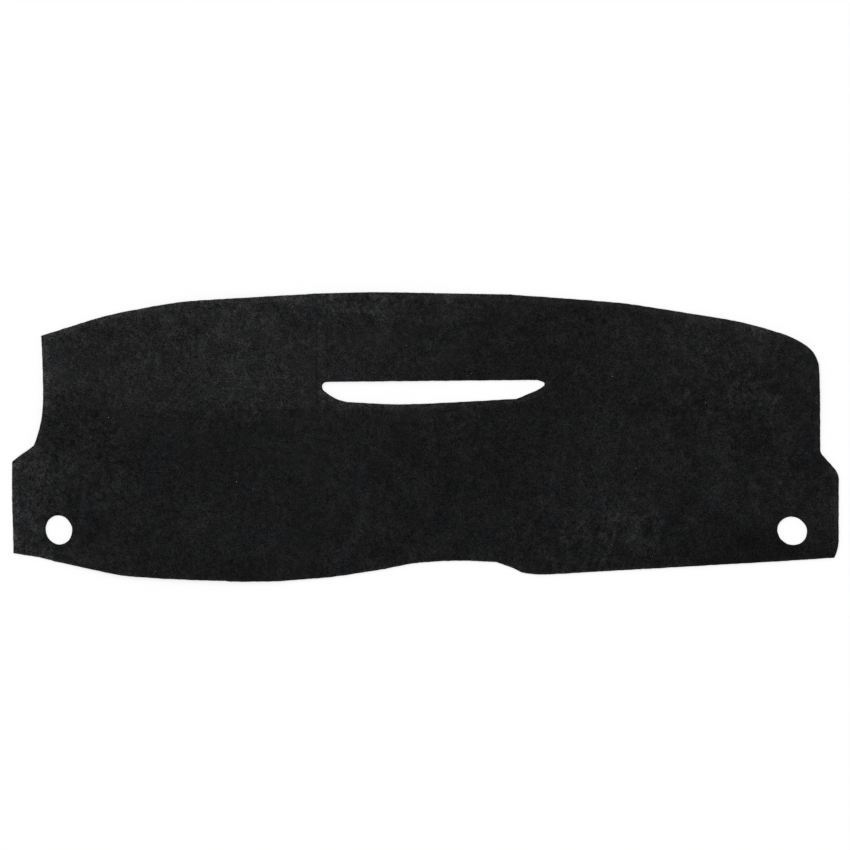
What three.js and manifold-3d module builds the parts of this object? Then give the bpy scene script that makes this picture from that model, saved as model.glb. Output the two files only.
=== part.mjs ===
// Dashboard cover mat: one sheet of short-pile felt, cut to the outline of a dashboard top,
// with an outlet slot in the middle and a round hole in each front corner.
// Millimetres. +X runs along the dashboard, +Y towards the windscreen, +Z up out of the pile.
import * as THREE from "three";
import { mergeVertices, toCreasedNormals } from "three/addons/utils/BufferGeometryUtils.js";
import Module from "manifold-3d";

// Sheet
const THICKNESS = 4;
const PILE_ROUND = 1.2;
const SPAN = 1447;

// Left end, the wing's sloping top, the neck above it and the side
const LEFT_CORNER_INSET = 2.6;
const LEFT_END_LENGTH = 161;
const LEFT_END_STRAIGHT = 68;
const LEFT_TIP_ROUND = 5;
const LEFT_WING_RUN = 38;
const LEFT_WING_RISE = 27.5;
const LEFT_NECK_REACH = 16.5;
const LEFT_NECK_LENGTH = 80.5;
const LEFT_SIDE_LENGTH = 112;
const LEFT_SIDE_LEAN = 3.5;

// Right end, the wing's sloping top and the side
const RIGHT_CORNER_DROP = 7.6;
const RIGHT_CORNER_EASE_IN = 8;
const RIGHT_CORNER_EASE_UP = 30;
const RIGHT_END_LENGTH = 148;
const RIGHT_TIP_ROUND = 30;
const RIGHT_WING_RUN = 32.5;
const RIGHT_WING_RISE = 36;
const RIGHT_NECK_ROUND = 16;
const RIGHT_SIDE_STRAIGHT = 86;
const RIGHT_SIDE_LENGTH = 89.7;
const RIGHT_SIDE_LEAN = 2.5;
const RIGHT_CORNER_ROUND = 54;

// Windscreen edge, from the left corner over the crown to the right corner
const LEFT_SHOULDER_RUN = 138;
const LEFT_SHOULDER_RISE = 40.5;
const LEFT_BROW_RUN = 140;
const LEFT_BROW_RISE = 21.5;
const CROWN_RUN = 321;
const CROWN_RISE = 14.2;
const RIGHT_CREST_IN = 577;
const RIGHT_CREST_FALL = 4;
const RIGHT_BROW_IN = 383;
const RIGHT_BROW_FALL = 14.8;
const RIGHT_SLOPE_IN = 242;
const RIGHT_SLOPE_FALL = 21.4;
const RIGHT_HAUNCH_IN = 190;
const RIGHT_HAUNCH_FALL = 8.4;
const RIGHT_SHOULDER_IN = 138;
const RIGHT_SHOULDER_FALL = 12.2;
const RIGHT_TURN_IN = 83.5;
const RIGHT_TURN_FALL = 17.8;

// Front edge: the hood over the instruments, where the cut starts and ends, the arch and its step
const HOOD_TOE_RUN = 47;
const HOOD_TOE_DROP = 7.4;
const HOOD_INSTEP_RUN = 29;
const HOOD_INSTEP_DROP = 7.5;
const HOOD_FLANK_RUN = 41;
const HOOD_FLANK_DROP = 9;
const HOOD_SHOULDER_RUN = 87;
const HOOD_SHOULDER_DROP = 16.5;
const HOOD_BROW_RUN = 101;
const HOOD_BROW_DROP = 6.1;
const CUT_START_RUN = 66;
const CUT_START_DROP = 1.8;
const CUT_END_RUN = 9;
const CUT_END_DROP = 1.3;
const HOOD_FLAT_LENGTH = 50;
const HOOD_HEEL_RUN = 106;
const HOOD_HEEL_RISE = 6.1;
const ARCH_FLANK_RUN = 105;
const ARCH_FLANK_RISE = 14.6;
const ARCH_HAUNCH_RUN = 69;
const ARCH_HAUNCH_RISE = 12.4;
const ARCH_TOP_RUN = 70;
const ARCH_TOP_RISE = 3.6;
const ARCH_LIP_RUN = 65.3;
const ARCH_LIP_DROP = 2.4;
const STEP_FLANK_RUN = 28;
const STEP_FLANK_DROP = 10.3;
const STEP_HEEL_RUN = 21;
const STEP_HEEL_DROP = 8.9;
const STEP_FOOT_RUN = 28;
const STEP_FOOT_DROP = 2.5;
const FRONT_EASE_RUN = 60;
const FRONT_EASE_RISE = 2.7;
const FRONT_SWELL_RUN = 61;
const FRONT_SWELL_RISE = 4;
const FRONT_RUN = 156.7;
const FRONT_RISE = 7.2;

// Outlet slot, round from its left nose: heel, low point, kink, cheek, point and bend
const SLOT_NOSE_LEFT_OF_MIDDLE = 196;
const SLOT_BELOW_CROWN = 157.4;
const SLOT_NOSE_ROUND = 8.5;
const SLOT_HEEL_RUN = 42.2;
const SLOT_HEEL_DROP = 34.2;
const SLOT_HEEL_ROUND = 73;
const SLOT_LOW_RUN = 100.5;
const SLOT_LOW_DROP = 4.5;
const SLOT_KINK_RUN = 213;
const SLOT_KINK_RISE = 9.4;
const SLOT_CHEEK_RUN = 34.7;
const SLOT_CHEEK_RISE = 14.6;
const SLOT_CHEEK_ROUND = 60;
const SLOT_POINT_RUN = 19.9;
const SLOT_POINT_RISE = 12.2;
const SLOT_POINT_ROUND = 4.1;
const SLOT_BEND_RUN = 18.6;
const SLOT_BEND_RISE = 6.1;

// Corner holes, slightly oval as they were cut by hand
const LEFT_HOLE_IN = 82;
const LEFT_HOLE_UP = 41;
const LEFT_HOLE_LENGTH = 51;
const LEFT_HOLE_WIDTH = 46;
const LEFT_HOLE_TURN = 105;
const RIGHT_HOLE_IN = 81.4;
const RIGHT_HOLE_UP = 47;
const RIGHT_HOLE_LENGTH = 53;
const RIGHT_HOLE_WIDTH = 48.5;
const RIGHT_HOLE_TURN = -30;

// Creases pressed into the pile where the mat was folded
const CREASE_WIDTH = 7;
const CREASE_DEPTH = 0.5;
const CROSS_FOLD_RUN = 15.2;
const CROSS_FOLD_GAP = 17.5;
const LONG_FOLD_DROP = 12;

// Fineness of the facets
const CURVE_SEGMENTS = 8;
const ROUND_SEGMENTS = 3;
const SHARP_EDGE = THREE.MathUtils.degToRad(35);

const at = (x, y) => new THREE.Vector2(x, y);
const step = (from, run, rise) => at(from.x + run, from.y + rise);

// Draws a leg towards a corner and rounds it over into the leg that leads on to the next point.
function roundCorner(path, corner, next, radius) {
  const back = path.currentPoint.clone().sub(corner).normalize();
  const ahead = next.clone().sub(corner).normalize();
  const between = Math.acos(back.dot(ahead));
  const reach = radius / Math.tan(between / 2);
  const handle = reach - (4 / 3) * Math.tan((Math.PI - between) / 4) * radius;
  const start = corner.clone().addScaledVector(back, reach);
  const pull = corner.clone().addScaledVector(back, handle);
  const push = corner.clone().addScaledVector(ahead, handle);
  const end = corner.clone().addScaledVector(ahead, reach);
  path.lineTo(start.x, start.y);
  path.bezierCurveTo(pull.x, pull.y, push.x, push.y, end.x, end.y);
}

// Draws a fair edge from the current point through stations that follow each other along X.
// It runs level at a crest or a hollow, and elsewhere takes a slope between its two chords' slopes.
function edgeThrough(path, stations) {
  const points = [path.currentPoint.clone(), ...stations];
  const chords = stations.map((p, i) => (p.y - points[i].y) / (p.x - points[i].x));
  const slopes = points.map((p, i) => {
    const before = chords[Math.max(i - 1, 0)];
    const after = chords[Math.min(i, chords.length - 1)];
    return before * after > 0 ? (2 * before * after) / (before + after) : 0;
  });
  stations.forEach((p, i) => {
    const from = points[i];
    const third = (p.x - from.x) / 3;
    const leave = step(from, third, third * slopes[i]);
    const arrive = step(p, -third, -third * slopes[i + 1]);
    path.bezierCurveTo(leave.x, leave.y, arrive.x, arrive.y, p.x, p.y);
  });
}

// Front edge, from the left front corner, which is the level that heights are counted from.
const leftFront = at(LEFT_CORNER_INSET, 0);
const hoodToe = step(leftFront, HOOD_TOE_RUN, -HOOD_TOE_DROP);
const hoodInstep = step(hoodToe, HOOD_INSTEP_RUN, -HOOD_INSTEP_DROP);
const hoodFlank = step(hoodInstep, HOOD_FLANK_RUN, -HOOD_FLANK_DROP);
const hoodShoulder = step(hoodFlank, HOOD_SHOULDER_RUN, -HOOD_SHOULDER_DROP);
const hoodBrow = step(hoodShoulder, HOOD_BROW_RUN, -HOOD_BROW_DROP);
const cutStart = step(hoodBrow, CUT_START_RUN, -CUT_START_DROP);
const cutEnd = step(cutStart, CUT_END_RUN, -CUT_END_DROP);
const hoodFlat = step(cutEnd, HOOD_FLAT_LENGTH, 0);
const hoodHeel = step(hoodFlat, HOOD_HEEL_RUN, HOOD_HEEL_RISE);
const archFlank = step(hoodHeel, ARCH_FLANK_RUN, ARCH_FLANK_RISE);
const archHaunch = step(archFlank, ARCH_HAUNCH_RUN, ARCH_HAUNCH_RISE);
const archTop = step(archHaunch, ARCH_TOP_RUN, ARCH_TOP_RISE);
const archLip = step(archTop, ARCH_LIP_RUN, -ARCH_LIP_DROP);
const stepFlank = step(archLip, STEP_FLANK_RUN, -STEP_FLANK_DROP);
const stepHeel = step(stepFlank, STEP_HEEL_RUN, -STEP_HEEL_DROP);
const stepFoot = step(stepHeel, STEP_FOOT_RUN, -STEP_FOOT_DROP);
const frontEase = step(stepFoot, FRONT_EASE_RUN, FRONT_EASE_RISE);
const frontSwell = step(frontEase, FRONT_SWELL_RUN, FRONT_SWELL_RISE);
const frontMiddle = step(frontSwell, FRONT_RUN, FRONT_RISE);
const rightFront = at(SPAN - RIGHT_CORNER_EASE_IN, leftFront.y - RIGHT_CORNER_DROP);

// Left and right ends and sides, from the front up.
const leftTip = at(0, leftFront.y + LEFT_END_LENGTH);
const leftEnd = step(leftTip, 0, -LEFT_END_STRAIGHT);
const leftNeck = step(leftTip, LEFT_WING_RUN, LEFT_WING_RISE);
const leftSide = step(leftNeck, LEFT_NECK_REACH, LEFT_NECK_LENGTH);
const leftCorner = step(leftSide, -LEFT_SIDE_LEAN, LEFT_SIDE_LENGTH);
const rightEase = at(SPAN, rightFront.y + RIGHT_CORNER_EASE_UP);
const rightTip = at(SPAN, rightFront.y + RIGHT_END_LENGTH);
const rightNeck = step(rightTip, -RIGHT_WING_RUN, RIGHT_WING_RISE);
const rightBend = step(rightNeck, 0, RIGHT_SIDE_STRAIGHT);
const rightCorner = step(rightBend, -RIGHT_SIDE_LEAN, RIGHT_SIDE_LENGTH);

// Windscreen edge, from both ends towards the crown.
const leftShoulder = step(leftCorner, LEFT_SHOULDER_RUN, LEFT_SHOULDER_RISE);
const leftBrow = step(leftShoulder, LEFT_BROW_RUN, LEFT_BROW_RISE);
const crown = step(leftBrow, CROWN_RUN, CROWN_RISE);
const rightCrest = at(SPAN - RIGHT_CREST_IN, crown.y - RIGHT_CREST_FALL);
const rightBrow = at(SPAN - RIGHT_BROW_IN, rightCrest.y - RIGHT_BROW_FALL);
const rightSlope = at(SPAN - RIGHT_SLOPE_IN, rightBrow.y - RIGHT_SLOPE_FALL);
const rightHaunch = at(SPAN - RIGHT_HAUNCH_IN, rightSlope.y - RIGHT_HAUNCH_FALL);
const rightShoulder = at(SPAN - RIGHT_SHOULDER_IN, rightHaunch.y - RIGHT_SHOULDER_FALL);
const rightTurn = at(SPAN - RIGHT_TURN_IN, rightShoulder.y - RIGHT_TURN_FALL);

// The slot's corners, before they are rounded.
const slotNose = at(SPAN / 2 - SLOT_NOSE_LEFT_OF_MIDDLE, crown.y - SLOT_BELOW_CROWN);
const slotHeel = step(slotNose, SLOT_HEEL_RUN, -SLOT_HEEL_DROP);
const slotLow = step(slotHeel, SLOT_LOW_RUN, -SLOT_LOW_DROP);
const slotKink = step(slotLow, SLOT_KINK_RUN, SLOT_KINK_RISE);
const slotCheek = step(slotKink, SLOT_CHEEK_RUN, SLOT_CHEEK_RISE);
const slotPoint = step(slotCheek, SLOT_POINT_RUN, SLOT_POINT_RISE);
const slotBend = step(slotPoint, -SLOT_BEND_RUN, SLOT_BEND_RISE);

const leftHole = at(LEFT_HOLE_IN, leftFront.y + LEFT_HOLE_UP);
const rightHole = at(SPAN - RIGHT_HOLE_IN, rightFront.y + RIGHT_HOLE_UP);

// The outer edge, drawn round from the left front corner.
function outerEdge() {
  const edge = new THREE.Shape();
  edge.moveTo(leftFront.x, leftFront.y);
  edgeThrough(edge, [hoodToe, hoodInstep, hoodFlank, hoodShoulder, hoodBrow, cutStart, cutEnd]);
  edgeThrough(edge, [hoodFlat, hoodHeel, archFlank, archHaunch, archTop, archLip]);
  edgeThrough(edge, [stepFlank, stepHeel, stepFoot, frontEase, frontSwell, frontMiddle, rightFront]);
  edge.quadraticCurveTo(rightEase.x, (rightFront.y + rightEase.y) / 2, rightEase.x, rightEase.y);
  roundCorner(edge, rightTip, rightNeck, RIGHT_TIP_ROUND);
  roundCorner(edge, rightNeck, rightBend, RIGHT_NECK_ROUND);
  edge.lineTo(rightBend.x, rightBend.y);
  roundCorner(edge, rightCorner, rightTurn, RIGHT_CORNER_ROUND);
  edgeThrough(edge, [rightTurn, rightShoulder, rightHaunch, rightSlope, rightBrow, rightCrest]);
  edgeThrough(edge, [crown, leftBrow, leftShoulder, leftCorner]);
  edge.quadraticCurveTo(leftSide.x, (leftCorner.y + leftSide.y) / 2, leftSide.x, leftSide.y);
  edge.quadraticCurveTo(leftSide.x, (leftSide.y + leftNeck.y) / 2, leftNeck.x, leftNeck.y);
  roundCorner(edge, leftTip, leftEnd, LEFT_TIP_ROUND);
  edge.lineTo(leftEnd.x, leftEnd.y);
  edge.lineTo(leftFront.x, leftFront.y);
  return edge;
}

function slot() {
  const cut = new THREE.Path();
  cut.moveTo(slotBend.x, slotBend.y);
  roundCorner(cut, slotNose, slotHeel, SLOT_NOSE_ROUND);
  roundCorner(cut, slotHeel, slotLow, SLOT_HEEL_ROUND);
  edgeThrough(cut, [slotLow, slotKink]);
  roundCorner(cut, slotCheek, slotPoint, SLOT_CHEEK_ROUND);
  roundCorner(cut, slotPoint, slotBend, SLOT_POINT_ROUND);
  cut.lineTo(slotBend.x, slotBend.y);
  return cut;
}

// An oval hole, turned by a number of degrees from +X.
function oval(centre, length, width, turn) {
  const cut = new THREE.Path();
  const angle = THREE.MathUtils.degToRad(turn);
  cut.absellipse(centre.x, centre.y, length / 2, width / 2, 0, Math.PI, false, angle);
  cut.absellipse(centre.x, centre.y, length / 2, width / 2, Math.PI, 2 * Math.PI, false, angle);
  return cut;
}

// The sheet, with its pile rounding over at every cut edge. It is drawn a little too deep below.
function sheet() {
  const edge = outerEdge();
  edge.holes.push(
    slot(),
    oval(leftHole, LEFT_HOLE_LENGTH, LEFT_HOLE_WIDTH, LEFT_HOLE_TURN),
    oval(rightHole, RIGHT_HOLE_LENGTH, RIGHT_HOLE_WIDTH, RIGHT_HOLE_TURN),
  );
  const geometry = new THREE.ExtrudeGeometry(edge, {
    depth: THICKNESS,
    curveSegments: CURVE_SEGMENTS,
    bevelThickness: PILE_ROUND,
    bevelSize: PILE_ROUND,
    bevelOffset: -PILE_ROUND,
    bevelSegments: ROUND_SEGMENTS,
  });
  return geometry.translate(0, 0, -PILE_ROUND);
}

// Everything below the backing, which lies flat.
function bench() {
  const size = 2 * SPAN;
  return new THREE.BoxGeometry(size, size, size).translate(SPAN / 2, 0, -size / 2);
}

// A shallow V along the top, between two points past the ends of the crease.
function crease(from, to) {
  const run = to.clone().sub(from);
  const section = new THREE.Shape([
    at(0, -CREASE_DEPTH),
    at(CREASE_WIDTH, CREASE_DEPTH),
    at(-CREASE_WIDTH, CREASE_DEPTH),
  ]);
  const geometry = new THREE.ExtrudeGeometry(section, { depth: run.length(), bevelEnabled: false });
  const along = run.normalize();
  const across = new THREE.Vector3(-along.y, along.x, 0);
  const place = new THREE.Matrix4()
    .makeBasis(across, new THREE.Vector3(0, 0, 1), new THREE.Vector3(along.x, along.y, 0))
    .setPosition(from.x, from.y, THICKNESS);
  return geometry.applyMatrix4(place);
}

// The mat was folded once along its length, under the slot, and once across by the slot's left end.
function creases() {
  const foldLine = slotLow.y - LONG_FOLD_DROP;
  const foldPlace = slotNose.x + CROSS_FOLD_RUN;
  const pastCrown = crown.y + CREASE_WIDTH;
  const crossCreases = [-CROSS_FOLD_GAP / 2, CROSS_FOLD_GAP / 2].map((off) =>
    crease(at(foldPlace + off, foldLine), at(foldPlace + off, pastCrown)),
  );
  return [crease(at(0, foldLine), at(SPAN, foldLine)), ...crossCreases];
}

const manifold = await Module();
manifold.setup();

function toSolid(geometry) {
  geometry.deleteAttribute("normal");
  geometry.deleteAttribute("uv");
  const merged = mergeVertices(geometry);
  const mesh = new manifold.Mesh({
    numProp: 3,
    vertProperties: merged.attributes.position.array,
    triVerts: new Uint32Array(merged.index.array),
  });
  return new manifold.Manifold(mesh);
}

function toGeometry(solid) {
  const { vertProperties, triVerts } = solid.getMesh();
  const geometry = new THREE.BufferGeometry();
  geometry.setAttribute("position", new THREE.BufferAttribute(vertProperties, 3));
  geometry.setIndex(new THREE.BufferAttribute(triVerts, 1));
  return geometry;
}

const cuts = [bench(), ...creases()];
const solid = cuts.reduce((body, cut) => body.subtract(toSolid(cut)), toSolid(sheet()));
const geometry = toGeometry(solid);

// The part's origin is under the middle of the mat.
geometry.computeBoundingBox();
const middle = geometry.boundingBox.getCenter(new THREE.Vector3());
geometry.translate(-middle.x, -middle.y, 0);

const felt = new THREE.MeshStandardMaterial({ color: 0x1c1c1d, roughness: 1, metalness: 0 });
const dashMat = new THREE.Mesh(toCreasedNormals(geometry, SHARP_EDGE), felt);
dashMat.name = "dash_mat";

const group = new THREE.Group();
group.add(dashMat);

export default group;
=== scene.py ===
import math
import random

import bmesh
import bpy
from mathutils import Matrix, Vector, noise
from mathutils.bvhtree import BVHTree


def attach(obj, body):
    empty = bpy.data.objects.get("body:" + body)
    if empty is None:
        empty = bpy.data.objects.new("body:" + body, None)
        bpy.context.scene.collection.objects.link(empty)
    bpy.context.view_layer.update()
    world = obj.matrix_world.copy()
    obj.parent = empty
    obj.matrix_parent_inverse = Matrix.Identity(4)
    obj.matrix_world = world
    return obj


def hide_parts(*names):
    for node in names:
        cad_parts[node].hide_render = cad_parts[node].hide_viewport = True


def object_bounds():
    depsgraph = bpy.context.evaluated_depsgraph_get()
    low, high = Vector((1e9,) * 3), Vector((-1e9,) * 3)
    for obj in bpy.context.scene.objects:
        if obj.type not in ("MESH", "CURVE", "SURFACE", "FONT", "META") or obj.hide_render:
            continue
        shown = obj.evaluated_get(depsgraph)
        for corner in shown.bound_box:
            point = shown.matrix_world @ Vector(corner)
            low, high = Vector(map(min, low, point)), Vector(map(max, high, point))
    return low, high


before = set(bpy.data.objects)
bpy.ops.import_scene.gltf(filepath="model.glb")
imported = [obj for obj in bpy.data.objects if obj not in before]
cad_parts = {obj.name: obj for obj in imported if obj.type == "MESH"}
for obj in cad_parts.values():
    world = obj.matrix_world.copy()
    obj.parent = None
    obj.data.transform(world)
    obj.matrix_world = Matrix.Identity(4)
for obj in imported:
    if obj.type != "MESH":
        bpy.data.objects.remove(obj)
solid_low, solid_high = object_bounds()


# Camera
# The mat lies on a table and is looked at from straight above. The long lens keeps both of
# its ends true to shape. The picture is square, with the mat's middle just below its centre.

PICTURE_SIDE = 850          # dots along each side of the picture
DOT = 0.00175               # metres of mat across one dot
MAT_MIDDLE = (425.4, 436.95)    # the dot on which the middle of the mat lies
LENS = 200.0
SENSOR = 36.0


def seen_at(across, down):
    """The place on the mat, in metres, that lies under a dot of the picture."""
    return (across - MAT_MIDDLE[0]) * DOT, (MAT_MIDDLE[1] - down) * DOT


eye = bpy.data.cameras.new("camera")
eye.lens = LENS
eye.sensor_width = SENSOR
camera = bpy.data.objects.new("camera", eye)
bpy.context.scene.collection.objects.link(camera)
bpy.context.scene.camera = camera
centre_x, centre_y = seen_at(PICTURE_SIDE / 2, PICTURE_SIDE / 2)
camera.location = (centre_x, centre_y, solid_high.z + PICTURE_SIDE * DOT * LENS / SENSOR)
bpy.context.scene.view_settings.view_transform = "Standard"


# Table
# A white table top under the mat. To the camera it is white as paper, and it keeps a weak
# share of the shadow that the mat throws on it.

TABLE_HALF_SIDE = 12.0
TABLE_WHITE = (0.98, 0.98, 0.98, 1.0)
SHADOW_SHARE = 0.25         # how much of the table's own light and shade the camera sees


def put(tree, kind, inputs=None, **settings):
    """Adds a shader node and fills its inputs with plain values or with other nodes' outputs."""
    node = tree.nodes.new(kind)
    for name, value in settings.items():
        setattr(node, name, value)
    for name, value in (inputs or {}).items():
        if isinstance(value, bpy.types.NodeSocket):
            tree.links.new(value, node.inputs[name])
        else:
            node.inputs[name].default_value = value
    return node


def fresh_tree(owner):
    """The empty node tree of a material or of the world."""
    owner.use_nodes = True
    owner.node_tree.nodes.clear()
    return owner.node_tree


def seen_or_mirrored(tree):
    """1 for a ray from the camera, and for one that glossy or clear things send on."""
    path = put(tree, "ShaderNodeLightPath")
    glossy = put(tree, "ShaderNodeMath", {0: path.outputs["Is Camera Ray"],
                 1: path.outputs["Is Glossy Ray"]}, operation="MAXIMUM")
    return put(tree, "ShaderNodeMath", {0: glossy.outputs[0],
               1: path.outputs["Is Transmission Ray"]}, operation="MAXIMUM").outputs[0]


def finish_mesh(shape, name, materials):
    """Turns a bmesh into an object that stands at the origin."""
    mesh = bpy.data.meshes.new(name)
    shape.to_mesh(mesh)
    shape.free()
    made = bpy.data.objects.new(name, mesh)
    bpy.context.scene.collection.objects.link(made)
    for material in materials:
        mesh.materials.append(material)
    return made


table_white = bpy.data.materials.new("white_table")
tree = fresh_tree(table_white)
lit = put(tree, "ShaderNodeBsdfDiffuse", {"Color": TABLE_WHITE})
plain = put(tree, "ShaderNodeEmission", {"Color": (1.0, 1.0, 1.0, 1.0), "Strength": 1.0})
share = put(tree, "ShaderNodeMath", {0: seen_or_mirrored(tree), 1: 1.0 - SHADOW_SHARE},
            operation="MULTIPLY")
both = put(tree, "ShaderNodeMixShader", {0: share.outputs[0], 1: lit.outputs[0], 2: plain.outputs[0]})
put(tree, "ShaderNodeOutputMaterial", {"Surface": both.outputs[0]})

top = bmesh.new()
bmesh.ops.create_grid(top, x_segments=1, y_segments=1, size=TABLE_HALF_SIDE)
table = finish_mesh(top, "table_top", [table_white])


# Light
# Plain soft daylight from all round, and a broad soft lamp high up beyond the left end of
# the windscreen edge, which is where the mat looks lightest.

ROUND_LIGHT = 0.70
LAMP_POWER = 1.35
LAMP_SPREAD = math.radians(50)
LAMP_TILT = math.radians(42)        # down from straight above
LAMP_TURN = math.radians(38)        # from the windscreen side round to the left

world = bpy.data.worlds.new("plain_room")
bpy.context.scene.world = world
tree = fresh_tree(world)
room = put(tree, "ShaderNodeBackground", {"Color": (1.0, 1.0, 1.0, 1.0), "Strength": ROUND_LIGHT})
white = put(tree, "ShaderNodeBackground", {"Color": (1.0, 1.0, 1.0, 1.0), "Strength": 1.0})
both = put(tree, "ShaderNodeMixShader", {0: seen_or_mirrored(tree), 1: room.outputs[0], 2: white.outputs[0]})
put(tree, "ShaderNodeOutputWorld", {"Surface": both.outputs[0]})

lamp = bpy.data.lights.new("soft_lamp", "SUN")
lamp.energy = LAMP_POWER
lamp.angle = LAMP_SPREAD
lamp_object = bpy.data.objects.new("soft_lamp", lamp)
lamp_object.rotation_euler = (-LAMP_TILT, 0.0, LAMP_TURN)
bpy.context.scene.collection.objects.link(lamp_object)


# Felt sheet
# The mat itself: one piece of short-pile black felt with a thin backing bonded on, cut
# through with its slot and its two holes in one go. It lies loose and a little wavy, and
# still shows where it was folded in its box.

BACKING = 0.0009            # thickness of the bonded backing
CUT_WALL = 0.0024           # height at which the pile begins to turn over the cut
PILE_TURN = [(0.00025, 0.0007), (0.00045, 0.0005), (0.0008, 0.00035), (0.0015, 0.0002), (0.0015, -0.00015)]
MESH_PITCH = 0.005
SNAP = 0.0004               # a corner this near to a cutting plane is taken as on it
WELD = 1e-6                 # corners of the solid this near to each other are one
HAIR = 1e-5                 # slack when two heights are compared
UPRIGHT = 0.1               # a wall's normal rises or falls by less than this
STEEP = 0.5                 # the same for a wall and the first ring of the pile's turn
LEVEL = 0.99                # a level face's normal rises or falls by more than this
FLAT_WITHIN = math.radians(1.0)     # faces that turn by less than this are joined
CROSS_FOLDS = [seen_at(across, 0)[0] for across in (317.0, 327.0)]
LONG_FOLD = seen_at(0, 411.0)[1]
FOLD_HALF_WIDTH = 0.0030
FOLD_DEPTH = 0.0004
FOLD_RIDGE = 0.0007         # how high the felt stands between the two cross folds
RIDGE_REACH = 0.03          # from the middle between the cross folds to where that ends
FOLD_TURN = 0.004           # how soon the cross folds begin above the long fold
LONG_FOLD_PRESSED = 0.6     # how sharply the long fold is pressed, beside the cross folds
WAVE_LENGTH = 0.38          # of the low waves in which the sheet lies
WAVE_HEIGHT = 0.0034
WAVE_SQUEEZE = 1.6          # the waves are this much shorter from front to back
WAVE_SEED = 0.3
WAVE_LIFT = 0.12            # the more, the less of the sheet lies down on the table
WAVE_CREST = 0.5            # the random value at which a wave is as high as it gets
PILE_WAVE_LENGTH = 0.022    # of the pile's own unevenness
PILE_WAVE_HEIGHT = 0.00022
CUT_WANDER_LENGTH = 0.009
CUT_WANDER = 0.0005         # how far the cut wanders to either side
WANDER_SEEDS = (1.7, 5.3)   # for its wander in X and in Y
WANDER_REACH = 0.006        # how far in from the cut the sheet wanders with it
CUT_REACH = 0.020           # how far in from the cut its distance is kept for the material
GLASS_STRIP = 0.034         # the strip beside the windscreen edge that is brushed lighter
GLASS_FACING = (0.5, 0.9)   # how squarely a cut faces the windscreen to have that strip
GLASS_BACK = (0.10, 0.14)   # and how far back on the mat it must lie
HOLES = [(-0.6415, -0.1628), (0.6421, -0.1644)]
HOLE_RIM = 0.042            # from a hole's middle to where its cut no longer matters
SLOT_MIDDLE = 0.08          # the slot's middle from front to back, and the area round it
SLOT_HALF_DEPTH = 0.05
SLOT_HALF_WIDTH = 0.23
RIGHT_END = 0.70            # the right end's own cut lies beyond this
# Painted sheen beside a cut, standing in for the light that the nap catches where it stands up there, by the
# way that the cut faces.
EDGE_SHEEN_LEFT = 1.6
EDGE_SHEEN_RIGHT = 1.0
EDGE_SHEEN_RIGHT_END = 2.0
EDGE_SHEEN_BACK = 0.9
EDGE_SHEEN_SLOT = 1.7


def fade(value, start, stop):
    """0 up to start, 1 from stop on, and a smooth rise between them."""
    share = min(max((value - start) / (stop - start), 0.0), 1.0)
    return share * share * (3.0 - 2.0 * share)


def planes(low, high, folds):
    """Places to cut the sheet at: an even pitch, with closer cuts on and beside each fold."""
    count = math.ceil((high - low) / MESH_PITCH)
    even = [low + MESH_PITCH * (i + 0.5) for i in range(count)]
    even = [p for p in even if all(abs(p - fold) > 1.5 * FOLD_HALF_WIDTH for fold in folds)]
    beside = [fold + side * FOLD_HALF_WIDTH for fold in folds for side in (-1.0, -0.5, 0.0, 0.5, 1.0)]
    return sorted(even + beside)


# The underside of the solid gives the outline. It is raised in two lifts, the backing and
# the pile, then inset ring by ring to turn the pile over the cut.
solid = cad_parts["dash_mat"].data
felt = bmesh.new()
felt.from_mesh(solid)
bmesh.ops.remove_doubles(felt, verts=felt.verts, dist=WELD)
outline = felt.copy()
flat = [f for f in outline.faces if abs(f.normal.z) > UPRIGHT]
bmesh.ops.delete(outline, geom=flat, context="FACES")
cut_walls = BVHTree.FromBMesh(outline)
outline.free()
rest = [f for f in felt.faces if f.normal.z > -LEVEL or f.calc_center_median().z > HAIR]
bmesh.ops.delete(felt, geom=rest, context="FACES")
bmesh.ops.dissolve_limit(felt, angle_limit=FLAT_WITHIN, verts=felt.verts[:], edges=felt.edges[:])
bmesh.ops.reverse_faces(felt, faces=felt.faces[:])
upper = felt.faces[:]
for rise in (BACKING, CUT_WALL - BACKING):
    below = upper
    raised = bmesh.ops.extrude_face_region(felt, geom=below)["geom"]
    corners = [g for g in raised if isinstance(g, bmesh.types.BMVert)]
    upper = [g for g in raised if isinstance(g, bmesh.types.BMFace)]
    bmesh.ops.translate(felt, vec=(0.0, 0.0, rise), verts=corners)
bmesh.ops.delete(felt, geom=below, context="FACES")
for inward, rise in PILE_TURN:
    bmesh.ops.inset_region(felt, faces=upper, thickness=inward, depth=rise, use_boundary=True,
                           use_even_offset=True)
for axis, folds in ((0, CROSS_FOLDS), (1, [LONG_FOLD])):
    across = Vector((1.0 - axis, float(axis), 0.0))
    for place in planes(solid_low[axis], solid_high[axis], folds):
        bmesh.ops.bisect_plane(felt, geom=felt.verts[:] + felt.edges[:] + felt.faces[:], dist=SNAP,
                               plane_co=across * place, plane_no=across)
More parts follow.
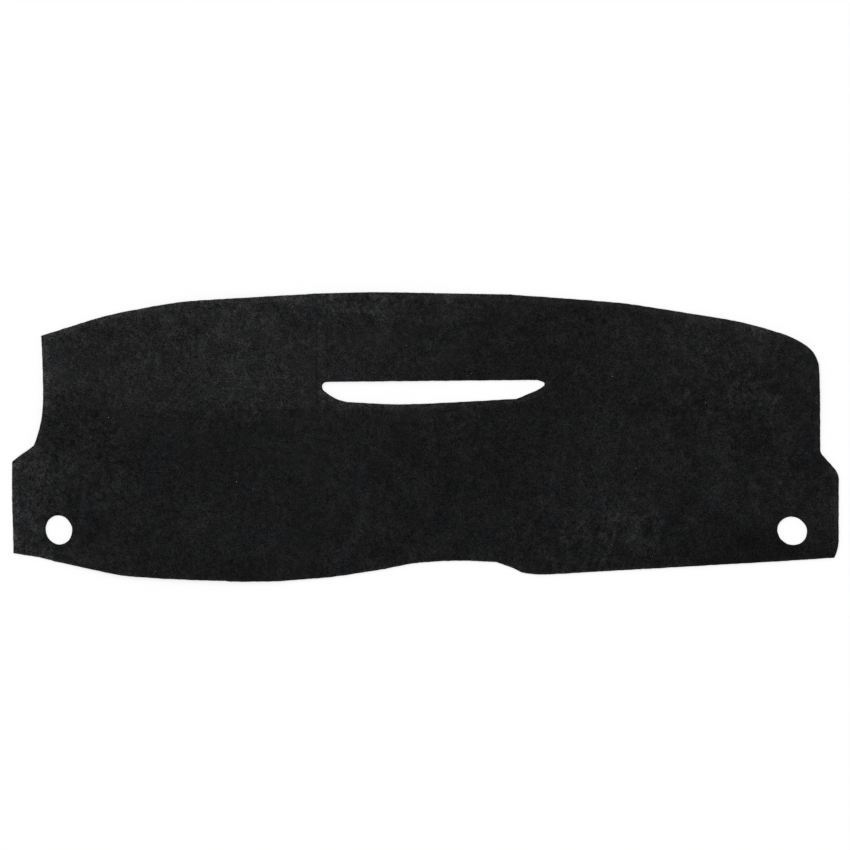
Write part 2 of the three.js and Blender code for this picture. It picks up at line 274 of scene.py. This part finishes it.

# The backing's faces, the distance from the cut, which way that cut faces and the pressed folds
# are kept for the material, which paints sheen beside the cut and along the front edge, and shade in the
# folds.
from_cut = felt.verts.layers.float.new("from_cut")
glass_side = felt.verts.layers.float.new("glass_side")
painted_edge_sheen = felt.verts.layers.float.new("painted_edge_sheen")
front_edge_sheen = felt.verts.layers.float.new("front_edge_sheen")
fold_dent_and_shade = felt.verts.layers.float.new("fold_dent_and_shade")
for face in felt.faces:
    face.material_index = 1 if face.calc_center_median().z < BACKING - HAIR else 0
    face.smooth = True
for corner in felt.verts:
    x, y, z = corner.co
    facing, reach = cut_walls.find_nearest(Vector((x, y, BACKING)))[1::2]
    corner[from_cut] = min(reach, CUT_REACH)
    by_hole = any(math.hypot(x - hole_x, y - hole_y) < HOLE_RIM for hole_x, hole_y in HOLES)
    by_slot = abs(y - SLOT_MIDDLE) < SLOT_HALF_DEPTH and abs(x) < SLOT_HALF_WIDTH
    # How much painted sheen the nap beside this cut gets, by the way that the cut faces.
    to_right = EDGE_SHEEN_RIGHT_END if x > RIGHT_END else EDGE_SHEEN_RIGHT
    sideways = facing.x * (-EDGE_SHEEN_LEFT if facing.x < 0.0 else to_right)
    upwards = max(facing.y, 0.0) * (EDGE_SHEEN_SLOT if by_slot else EDGE_SHEEN_BACK)
    corner[painted_edge_sheen] = 0.0 if by_hole else sideways + upwards
    corner[front_edge_sheen] = 0.0 if by_hole or by_slot else max(-facing.y, 0.0)
    by_glass = fade(facing.y, *GLASS_FACING) * fade(y, *GLASS_BACK)
    corner[glass_side] = by_glass * (1.0 - fade(reach, 0.0, GLASS_STRIP))
    above_fold = fade(y, LONG_FOLD - FOLD_TURN, LONG_FOLD + FOLD_TURN)
    cross = max(1.0 - fade(abs(x - fold), 0.0, FOLD_HALF_WIDTH) for fold in CROSS_FOLDS) * above_fold
    along = 1.0 - fade(abs(y - LONG_FOLD), 0.0, FOLD_HALF_WIDTH)
    corner[fold_dent_and_shade] = max(cross, LONG_FOLD_PRESSED * along)
    between = 1.0 - fade(abs(x - sum(CROSS_FOLDS) / 2.0), 0.0, RIDGE_REACH)
    wave = noise.noise(Vector((x, WAVE_SQUEEZE * y, WAVE_SEED)) / WAVE_LENGTH) + WAVE_LIFT
    lie = WAVE_HEIGHT * fade(wave, 0.0, WAVE_CREST) + FOLD_RIDGE * between * above_fold
    if z > CUT_WALL - HAIR:
        pile = noise.noise(Vector((x, y, 0.0)) / PILE_WAVE_LENGTH)
        lie += PILE_WAVE_HEIGHT * pile - FOLD_DEPTH * corner[fold_dent_and_shade]
    wander = [CUT_WANDER * noise.noise(Vector((x, y, 0.0)) / CUT_WANDER_LENGTH + Vector((0.0, 0.0, seed)))
              for seed in WANDER_SEEDS]
    loose = 1.0 - fade(reach, 0.0, WANDER_REACH)
    corner.co = (x + wander[0] * loose, y + wander[1] * loose, z + lie)


# The pile is dull black, with paler and darker patches where hands have brushed the nap, and with painted
# light that makes it paler towards its upper left and its left end, on the lamp's side.
NAP_BLACK = 0.0087          # how much light the plain nap sends back
COOL_TINT = (0.945, 1.0, 1.11, 1.0)
PLAIN_TINT = (0.985, 1.0, 1.0, 1.0)
GLASS_STRIP_LIGHTER = 0.18
ABOVE_FOLD_NAP_AND_LIGHT = 0.34   # what the left end above the long fold gains, partly its nap and partly painted light
ABOVE_FOLD_RISE = (-0.007, 0.010)   # where that begins, from below the fold to above it
LEFT_END_FADE = (-0.25, 0.12)       # and where it fades out to the right
SWIRL_SIZE = 0.07           # how broadly the patches' outlines wander, and by how much
SWIRL = 0.09
FIBRE_LENGTH = 0.0050       # one clump of fibres, as it lies on the pile
FIBRE_WIDTH = 0.0022
FIBRE_TURNS = (32.0, -48.0)         # the two ways that the clumps lie, in degrees
CLUMP_STRENGTH = 1.75
CLUMPS_CALM = 0.6           # share of the clumps that shows everywhere
CLUMPS_RUFFLED = 0.4        # and what the ruffled areas add
FINE_GRAIN = 0.0016
FINE_STRENGTH = 5.6
GRAIN_LEVEL = 0.86          # the grain's own mean
NAP_RELIEF = 0.0006
EDGE_SHEEN_LIGHTER = 0.32       # how much paler the painted sheen makes the nap beside a cut
EDGE_SHEEN_FADE = (0.0045, 0.015)       # from full to none, in metres from the cut
EDGE_SHEEN_AT_CUT = 0.7              # what is left of the painted sheen right at the cut
EDGE_SHEEN_DIP_REACH = 0.004
FRONT_SHEEN_LIGHTER = 0.45        # the narrow painted sheen along the front edge
FRONT_SHEEN_FADE = (0.0022, 0.0045)
# What is left of the nap's tone in the middle of a fold, as painted shade in the crease.
FOLD_PAINTED_SHADE = 0.74
CALM = 0.60                 # how much of the patchiness the calm middle of the mat keeps
COOL_SIZE = 0.05            # the bluish patches: how broad, and where they begin and are full
COOL_SEED = 8.0
COOL_RANGE = (0.07, 0.19)
COOL_LOWER = 0.05           # there are more of them on the lower half, by this
COOL_LOWER_FADE = (0.06, -0.02)
MARK_LENGTH = 0.028         # one mark of a brush
MARK_WIDTH = 0.007
# (size of the patches, seed, twist, strength)
MOTTLES = [(0.10, 1.0, 1.0, 1.1), (0.042, 2.0, 1.6, 1.5), (0.019, 3.0, 1.8, 1.8), (0.008, 4.0, 0.6, 1.9)]
# Patches of brushed nap, partly painted light: the paler ones at the upper left and the left end stand in
# for light falling from there.
# (dot across, dot down, half width, half depth, turn in degrees, share lighter)
NAP_AND_LIGHT_PATCHES = [
    (215, 345, 280, 110, 0, 0.30),
    (45, 345, 60, 60, 0, 0.30),
    (14, 505, 80, 120, 0, 1.00),
    (95, 485, 70, 40, 0, 0.20),
    (130, 425, 70, 40, 0, 0.22),
    (48, 385, 60, 40, 0, 0.18),
    (40, 555, 60, 30, 0, 0.24),
    (270, 300, 300, 40, 0, 0.10),
    (480, 288, 190, 44, 0, 0.30),
    (440, 374, 130, 18, 0, -0.12),
    (720, 330, 170, 60, 10, 0.34),
    (600, 515, 80, 50, -20, 0.26),
    (555, 370, 120, 90, 0, -0.14),
    (790, 570, 150, 70, 0, -0.42),
    (700, 550, 90, 50, 0, -0.24),
    (225, 575, 150, 50, 0, -0.22),
    (400, 395, 110, 40, 0, 0.14),
    (480, 490, 190, 90, 0, -0.14),
]
# The same for how much rougher the pile lies than in the calm middle.
RUFFLED = [
    (50, 470, 140, 150, 0, 0.45),
    (130, 315, 230, 60, -8, 0.22),
    (380, 300, 260, 45, 0, 0.40),
    (600, 540, 120, 65, -10, 0.45),
    (745, 385, 110, 90, 0, 0.45),
    (800, 470, 80, 60, 0, 0.35),
]
# The same for brush marks, whose own turn stands in the fifth place.
BRUSH_MARKS = [
    (600, 535, 120, 60, 33, 1.4),
    (55, 500, 90, 100, -20, 0.8),
    (150, 325, 230, 60, 38, 0.8),
]


def number(tree, operation, first, second=0.0, third=0.0):
    """One step of arithmetic between shader values."""
    return put(tree, "ShaderNodeMath", {0: first, 1: second, 2: third}, operation=operation).outputs[0]


def vector(tree, operation, first, second):
    """One step of arithmetic between places or colours."""
    return put(tree, "ShaderNodeVectorMath", {0: first, 1: second}, operation=operation).outputs[0]


def cloud(tree, at, size, seed, detail=2.0, twist=0.0):
    """Soft random patches of about that size in metres, as a value round 0. Each has its own seed."""
    patches = put(tree, "ShaderNodeTexNoise", {"Vector": at, "W": seed, "Scale": 1.0 / size,
                  "Detail": detail, "Distortion": twist}, noise_dimensions="4D")
    return number(tree, "SUBTRACT", patches.outputs["Fac"], 0.5)


def strokes(tree, at, length, width, turn, seed):
    """Short fibres that lie about one way, as a value round 0."""
    laid = put(tree, "ShaderNodeMapping", {"Vector": at, "Rotation": (0.0, 0.0, math.radians(turn)),
               "Scale": (length, width, width)}, vector_type="TEXTURE")
    return cloud(tree, laid.outputs[0], 1.0, seed, detail=1.0, twist=0.3)


def blend(tree, value, start, stop, low, high):
    """Goes smoothly from low to high as the value goes from start to stop."""
    return put(tree, "ShaderNodeMapRange", {"Value": value, "From Min": start, "From Max": stop,
               "To Min": low, "To Max": high}, interpolation_type="SMOOTHSTEP").outputs["Result"]


def attribute(tree, name):
    """A value that the mesh keeps at its corners."""
    return put(tree, "ShaderNodeAttribute", attribute_name=name).outputs["Fac"]


pile_black = bpy.data.materials.new("black_felt_pile")
tree = fresh_tree(pile_black)
place = put(tree, "ShaderNodeTexCoord").outputs["Object"]
swirl = put(tree, "ShaderNodeTexNoise", {"Vector": place, "Scale": 1.0 / SWIRL_SIZE, "Detail": 3.0})
swirl = vector(tree, "SUBTRACT", swirl.outputs["Color"], (0.5, 0.5, 0.5))
drifted = vector(tree, "ADD", place, vector(tree, "MULTIPLY", swirl, (SWIRL, SWIRL, 0.0)))


def patch(tree, at, across, down, half_width, half_depth, turn, gain):
    """The gain in the middle of an oval patch of the mat, falling to 0 at its rim."""
    laid = put(tree, "ShaderNodeMapping", {"Vector": at, "Location": (*seen_at(across, down), 0.0),
               "Rotation": (0.0, 0.0, math.radians(turn)),
               "Scale": (half_width * DOT, half_depth * DOT, 1.0)}, vector_type="TEXTURE")
    out = put(tree, "ShaderNodeVectorMath", {0: laid.outputs[0]}, operation="LENGTH").outputs["Value"]
    return blend(tree, out, 0.0, 1.0, gain, 0.0)


tone = NAP_BLACK
# Brushed nap and painted light, patch by patch.
for nap_and_light_patch in NAP_AND_LIGHT_PATCHES:
    tone = number(tree, "MULTIPLY", tone, number(tree, "ADD", patch(tree, drifted, *nap_and_light_patch), 1.0))
ruffled = CALM
for rough in RUFFLED:
    ruffled = number(tree, "ADD", ruffled, patch(tree, drifted, *rough))
spot = put(tree, "ShaderNodeSeparateXYZ", {0: place})
# Partly painted light: the upper left of the mat, on the lamp's side, is made paler along with its nap.
below, above = (LONG_FOLD + rise for rise in ABOVE_FOLD_RISE)
above_fold = blend(tree, spot.outputs["Y"], below, above, 0.0, 1.0)
left_end_nap_and_light = blend(tree, spot.outputs["X"], *LEFT_END_FADE, ABOVE_FOLD_NAP_AND_LIGHT, 0.0)
tone = number(tree, "MULTIPLY", tone, number(tree, "MULTIPLY_ADD", above_fold, left_end_nap_and_light, 1.0))
strip = number(tree, "MULTIPLY_ADD", attribute(tree, "glass_side"), GLASS_STRIP_LIGHTER, 1.0)
tone = number(tree, "MULTIPLY", tone, strip)
for size, seed, twist, strength in MOTTLES:
    mottle = number(tree, "MULTIPLY", cloud(tree, place, size, seed, 1.0, twist), strength)
    tone = number(tree, "MULTIPLY", tone, number(tree, "MULTIPLY_ADD", mottle, ruffled, 1.0))
for across, down, half_width, half_depth, turn, strength in BRUSH_MARKS:
    marks = strokes(tree, drifted, MARK_LENGTH, MARK_WIDTH, turn, 9.0 + turn)
    here = patch(tree, drifted, across, down, half_width, half_depth, 0, strength)
    tone = number(tree, "MULTIPLY", tone, number(tree, "MULTIPLY_ADD", marks, here, 1.0))

one_way = strokes(tree, place, FIBRE_LENGTH, FIBRE_WIDTH, FIBRE_TURNS[0], 5.0)
other_way = strokes(tree, place, FIBRE_LENGTH, FIBRE_WIDTH, FIBRE_TURNS[1], 6.0)
clumps = number(tree, "MULTIPLY", number(tree, "MAXIMUM", one_way, other_way), CLUMP_STRENGTH)
shown = number(tree, "MULTIPLY_ADD", ruffled, CLUMPS_RUFFLED, CLUMPS_CALM)
clumps = number(tree, "MULTIPLY", clumps, shown)
fibres = number(tree, "MULTIPLY_ADD", cloud(tree, place, FINE_GRAIN, 7.0), FINE_STRENGTH, clumps)
tone = number(tree, "MULTIPLY", tone, number(tree, "ADD", fibres, GRAIN_LEVEL))

# Painted sheen: the nap beside a cut is made paler, as if light caught it there, and a little less so right
# at the cut.
reach = attribute(tree, "from_cut")
edge_sheen_band = number(tree, "MULTIPLY", blend(tree, reach, 0.0, EDGE_SHEEN_DIP_REACH, EDGE_SHEEN_AT_CUT, 1.0),
              blend(tree, reach, *EDGE_SHEEN_FADE, EDGE_SHEEN_LIGHTER, 0.0))
edge_sheen_band = number(tree, "MULTIPLY", edge_sheen_band, attribute(tree, "painted_edge_sheen"))
# Painted sheen: a narrow pale line along the front edge.
front_sheen = number(tree, "MULTIPLY", blend(tree, reach, *FRONT_SHEEN_FADE, FRONT_SHEEN_LIGHTER, 0.0),
                attribute(tree, "front_edge_sheen"))
tone = number(tree, "MULTIPLY", tone, number(tree, "ADD", number(tree, "ADD", edge_sheen_band, front_sheen), 1.0))
# Painted shade: the nap is darkened along the folds, which are also dented in the mesh.
tone = number(tree, "MULTIPLY", tone, blend(tree, attribute(tree, "fold_dent_and_shade"), 0.0, 1.0, 1.0, FOLD_PAINTED_SHADE))
lower = blend(tree, spot.outputs["Y"], *COOL_LOWER_FADE, 0.0, COOL_LOWER)
cool = number(tree, "ADD", cloud(tree, drifted, COOL_SIZE, COOL_SEED, detail=3.0), lower)
cool = blend(tree, cool, *COOL_RANGE, 0.0, 1.0)
tint = put(tree, "ShaderNodeMix", {0: cool, 6: PLAIN_TINT, 7: COOL_TINT}, data_type="RGBA").outputs[2]
colour = put(tree, "ShaderNodeVectorMath", {0: tint, "Scale": tone}, operation="SCALE").outputs[0]
nap = put(tree, "ShaderNodeBump", {"Height": fibres, "Strength": 0.3, "Distance": NAP_RELIEF})
felt_face = put(tree, "ShaderNodeBsdfPrincipled", {"Base Color": colour, "Normal": nap.outputs[0],
                "Roughness": 1.0, "Specular IOR Level": 0.06, "Sheen Weight": 0.05,
                "Sheen Roughness": 0.5, "Sheen Tint": (0.9, 0.95, 1.0, 1.0)})
put(tree, "ShaderNodeOutputMaterial", {"Surface": felt_face.outputs[0]})

# The backing is a charcoal web of fibres that lie two ways.
BACKING_GREY = 0.022
WEB_LENGTH = 0.012
WEB_WIDTH = 0.0016
WEB_TURNS = (12.0, 78.0)
WEB_CLOUD = 0.03            # size of its cloudier and thinner places
WEB_CONTRAST = 1.2

backing_grey = bpy.data.materials.new("charcoal_backing")
tree = fresh_tree(backing_grey)
place = put(tree, "ShaderNodeTexCoord").outputs["Object"]
webs = number(tree, "ADD", strokes(tree, place, WEB_LENGTH, WEB_WIDTH, WEB_TURNS[0], 11.0),
              strokes(tree, place, WEB_LENGTH, WEB_WIDTH, WEB_TURNS[1], 12.0))
webs = number(tree, "ADD", webs, cloud(tree, place, WEB_CLOUD, 13.0))
tone = number(tree, "MULTIPLY", number(tree, "MULTIPLY_ADD", webs, WEB_CONTRAST, 1.0), BACKING_GREY)
colour = put(tree, "ShaderNodeVectorMath", {0: (1.0, 1.0, 1.0), "Scale": tone}, operation="SCALE")
laid = put(tree, "ShaderNodeBump", {"Height": webs, "Strength": 0.5, "Distance": NAP_RELIEF})
web_face = put(tree, "ShaderNodeBsdfPrincipled", {"Base Color": colour.outputs[0],
               "Normal": laid.outputs[0], "Roughness": 0.85, "Specular IOR Level": 0.15})
put(tree, "ShaderNodeOutputMaterial", {"Surface": web_face.outputs[0]})

# The cut's upright faces are kept for the loose ends: middle, outward direction and area. They
# are put in order by their corners, because their own order differs from run to run.
upright = [f for f in felt.faces if f.material_index == 0 and abs(f.normal.z) < STEEP]
upright.sort(key=lambda face: sorted(tuple(corner.co) for corner in face.verts))
cut_faces = [(f.calc_center_median(), f.normal.copy(), f.calc_area()) for f in upright]
felt_sheet = finish_mesh(felt, "felt_sheet", [pile_black, backing_grey])
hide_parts("dash_mat")
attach(felt_sheet, "root")


# Loose ends
# Short ends of fibre that the knife left standing out of the cut all round the mat, in its
# slot and in its holes. They are the felt's own polyester, worked a little loose.

END_SPACING = 0.0013        # along the cut, between one loose end and the next
END_LENGTH = (0.0005, 0.0017)
END_THICKNESS = 0.00013
THREAD_TAPER = 0.55         # how much thinner a thread is at its far end
END_DENSITY = (0.6, 0.8)    # least of them, and what the fuller stretches of the cut add
END_PATCH = 0.03            # length of such a stretch
END_LEVEL = (-0.0007, 0.0018)       # where they are rooted, from the wall's middle
END_ROOTED = 0.0004         # how deep in the felt they begin
END_OUT = (0.5, 1.0)        # their heading: outwards, along the cut and upwards
END_ALONG = 0.6
END_UP = (-0.2, 0.5)
END_SHORTER = (0.5, 1.0)
END_CURL = (0.35, 0.3)      # how far their tips bend, along the cut and upwards
END_BLACK = (0.010, 0.010, 0.0105, 1.0)


def fine_thread(name, runs, thickness, material):
    """Thin threads through runs of points, tapering to their far ends, as one mesh."""
    line = bpy.data.curves.new(name, "CURVE")
    line.dimensions = "3D"
    line.bevel_depth = thickness / 2.0
    line.bevel_resolution = 0
    line.use_fill_caps = True
    for run in runs:
        spline = line.splines.new("POLY")
        spline.points.add(len(run) - 1)
        for point, place, share in zip(spline.points, run, range(len(run))):
            point.co = (*place, 1.0)
            point.radius = 1.0 - THREAD_TAPER * share / (len(run) - 1)
    drawn = bpy.data.objects.new(name + "_line", line)
    mesh = bpy.data.meshes.new_from_object(drawn)
    bpy.data.objects.remove(drawn)
    mesh.name = name
    mesh.materials.append(material)
    made = bpy.data.objects.new(name, mesh)
    bpy.context.scene.collection.objects.link(made)
    return made


random.seed(11)
ends = []
owed = 0.0
for middle, out, area in cut_faces:
    along = Vector((-out.y, out.x, 0.0)).normalized()
    width = area / (CUT_WALL - BACKING)
    fuller = 0.5 + noise.noise(middle / END_PATCH)
    owed += width / END_SPACING * (END_DENSITY[0] + END_DENSITY[1] * fuller)
    while owed > random.random():
        owed -= 1.0
        root = middle + along * random.uniform(-0.5, 0.5) * width
        root += Vector((0.0, 0.0, random.uniform(*END_LEVEL)))
        heading = out * random.uniform(*END_OUT) + along * random.gauss(0.0, END_ALONG)
        heading += Vector((0.0, 0.0, random.uniform(*END_UP)))
        length = random.uniform(*END_LENGTH) * random.uniform(*END_SHORTER)
        curl = along * random.gauss(0.0, END_CURL[0])
        curl += Vector((0.0, 0.0, random.gauss(0.0, END_CURL[1])))
        inside = root - out * END_ROOTED
        ends.append([inside, root + heading * length * 0.5, root + (heading + curl) * length])

loose_black = bpy.data.materials.new("loose_black_fibre")
tree = fresh_tree(loose_black)
end_face = put(tree, "ShaderNodeBsdfPrincipled", {"Base Color": END_BLACK, "Roughness": 0.8,
               "Specular IOR Level": 0.1})
put(tree, "ShaderNodeOutputMaterial", {"Surface": end_face.outputs[0]})
loose_ends = fine_thread("loose_ends", ends, END_THICKNESS, loose_black)
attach(loose_ends, "root")


# Lint
# A few curls of pale lint that the pile has caught, each a bit of fibre rolled up on itself.
# They lie on the pile in the places where the mat shows pale specks.

# (dot across, dot down)
LINT_AT = [(108, 417), (406, 345), (471, 373), (612, 376), (705, 402), (236, 481), (235, 526), (376, 539),
           (652, 556), (635, 468), (155, 571)]
LINT_RADIUS = 0.0005
LINT_THICKNESS = 0.00028
LINT_POINTS = 9
LINT_WIND = 0.08            # how much tighter each step of the curl is
LINT_LEVEL = 0.3            # how high the curl begins and rises, in thicknesses
LINT_CLIMB = 0.12
LINT_WHITE = (0.55, 0.56, 0.58, 1.0)

bpy.context.view_layer.update()
curls = []
for across, down in LINT_AT:
    x, y = seen_at(across + 0.5, down + 0.5)
    landed = felt_sheet.ray_cast(Vector((x, y, 0.1)), Vector((0.0, 0.0, -1.0)))[1]
    turn = random.uniform(0.0, math.tau)
    curl = []
    for i in range(LINT_POINTS):
        radius = LINT_RADIUS * (1.0 - LINT_WIND * i)
        curl.append(landed + Vector((radius * math.cos(turn + i), radius * math.sin(turn + i),
                                     LINT_THICKNESS * (LINT_LEVEL + LINT_CLIMB * i))))
    curls.append(curl)
lint_white = bpy.data.materials.new("pale_lint")
tree = fresh_tree(lint_white)
lint_face = put(tree, "ShaderNodeBsdfPrincipled", {"Base Color": LINT_WHITE, "Roughness": 0.9,
                "Specular IOR Level": 0.2})
put(tree, "ShaderNodeOutputMaterial", {"Surface": lint_face.outputs[0]})
lint = fine_thread("lint", curls, LINT_THICKNESS, lint_white)
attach(lint, "root")
